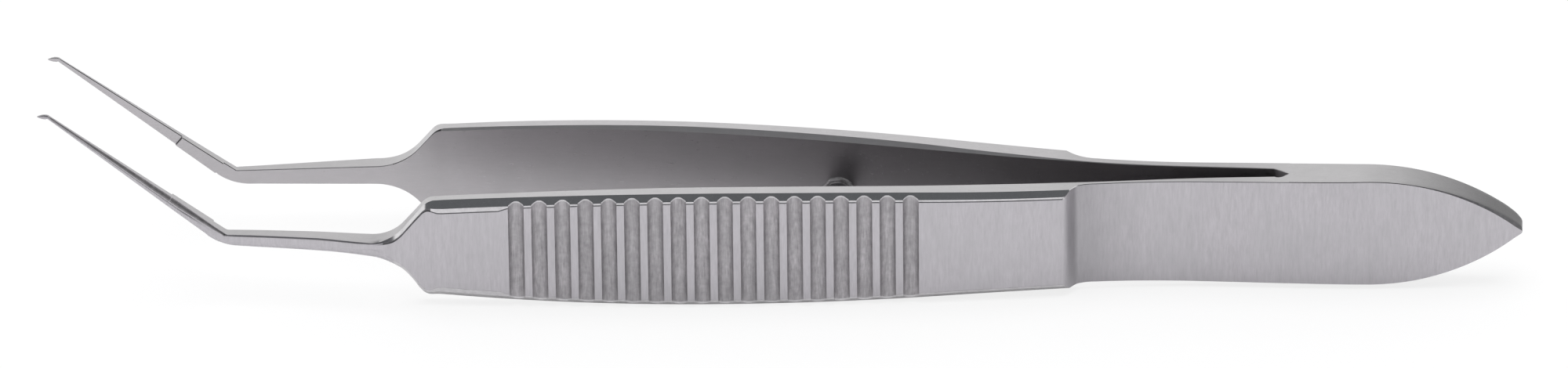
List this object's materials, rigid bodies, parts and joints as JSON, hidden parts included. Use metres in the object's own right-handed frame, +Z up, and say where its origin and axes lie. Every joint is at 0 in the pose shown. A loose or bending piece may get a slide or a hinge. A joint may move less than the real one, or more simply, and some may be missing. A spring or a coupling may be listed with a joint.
{
  "type": "capsulorhexis forceps",
  "caption": "Fine eye-surgery forceps with flat grooved spring handles, round shanks and long angled shafts that end in small pointed tips; squeezing the handles closes them.",
  "frame": {"origin": "middle of the overall length, mid plane between the arms, on the surface that the lower handle edges rest on", "axes": "+X towards the welded tail, tips at -X; +Y towards the far arm, across the closing gap; +Z up across the handle width, the way the tips rise"},
  "size_m": [0.0826, 0.0094, 0.0111],
  "materials": {
    "steel": "satin, brushed across the length, with bead-blasted grooves",
    "pin_steel": "bright ground pin with a small weld collar"
  },
  "bodies": {
    "tail": {"tail": "steel"},
    "near_arm": {"near_arm": "steel"},
    "far_arm": {"far_arm": "steel", "stop_pin": "pin_steel"}
  },
  "joints": [
    {"name": "near_arm_squeeze", "type": "hinge", "parent": "tail", "child": "near_arm", "pos_m": [0.02774, -0.00076, 0.00356], "axis": [0, 0, -1], "range_deg": [0, 2.56], "stiffness_Nm_per_rad": 0.4},
    {"name": "far_arm_squeeze", "type": "hinge", "parent": "tail", "child": "far_arm", "pos_m": [0.02774, 0.00076, 0.00356], "axis": [0, 0, 1], "range_deg": [0, 2.56], "stiffness_Nm_per_rad": 0.4}
  ]
}
